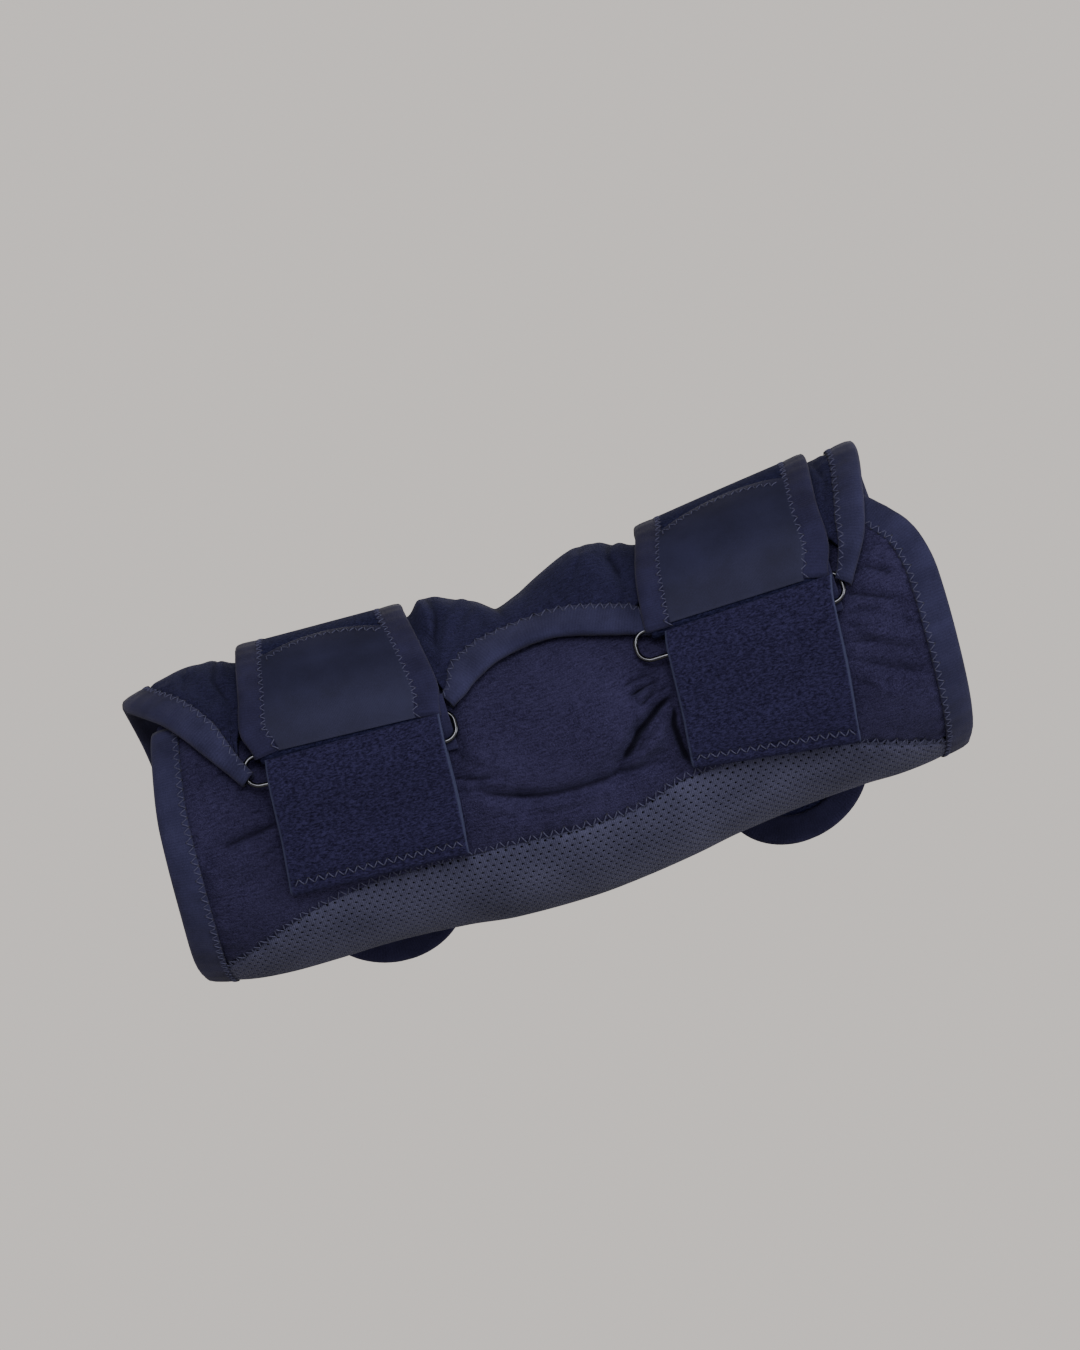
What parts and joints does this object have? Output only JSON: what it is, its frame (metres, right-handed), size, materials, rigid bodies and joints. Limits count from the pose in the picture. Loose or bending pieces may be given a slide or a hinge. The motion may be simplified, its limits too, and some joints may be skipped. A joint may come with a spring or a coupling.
{
  "type": "elbow brace",
  "caption": "Soft wrap-around elbow support: padded cloth sleeve, perforated elbow panel, bands over the crook, wire rings and napped tabs.",
  "frame": {"origin": "on the arm's axis, half way along the brace", "axes": "+X along the arm towards the upper arm, +Z towards the crook of the elbow, -Y the side with the rings"},
  "size_m": [0.2445, 0.1051, 0.1132],
  "materials": {
    "panel_cloth": "brushed loop cloth",
    "panel_cloth_dark": "brushed loop cloth",
    "mesh_cloth": "perforated knit",
    "binding_tape": "folded tape with zigzag stitching",
    "wire": "bright plated wire",
    "strap_cloth": "napped band",
    "strap_tape": "folded tape with zigzag stitching",
    "strap_patch": "smooth satin",
    "tab_nap": "dense pile"
  },
  "bodies": {
    "root": {"near_panel": "panel_cloth", "far_panel": "panel_cloth_dark", "mesh_panel": "mesh_cloth", "forearm_binding": "binding_tape", "upper_arm_binding": "binding_tape", "crook_binding": "binding_tape", "forearm_ring": "wire", "upper_arm_ring": "wire", "forearm_strap": "strap_cloth", "upper_arm_strap": "strap_cloth", "forearm_strap_tape": "strap_tape", "upper_arm_strap_tape": "strap_tape", "forearm_strap_patch": "strap_patch", "upper_arm_strap_patch": "strap_patch", "forearm_tab": "tab_nap", "upper_arm_tab": "tab_nap"}
  },
  "joints": []
}
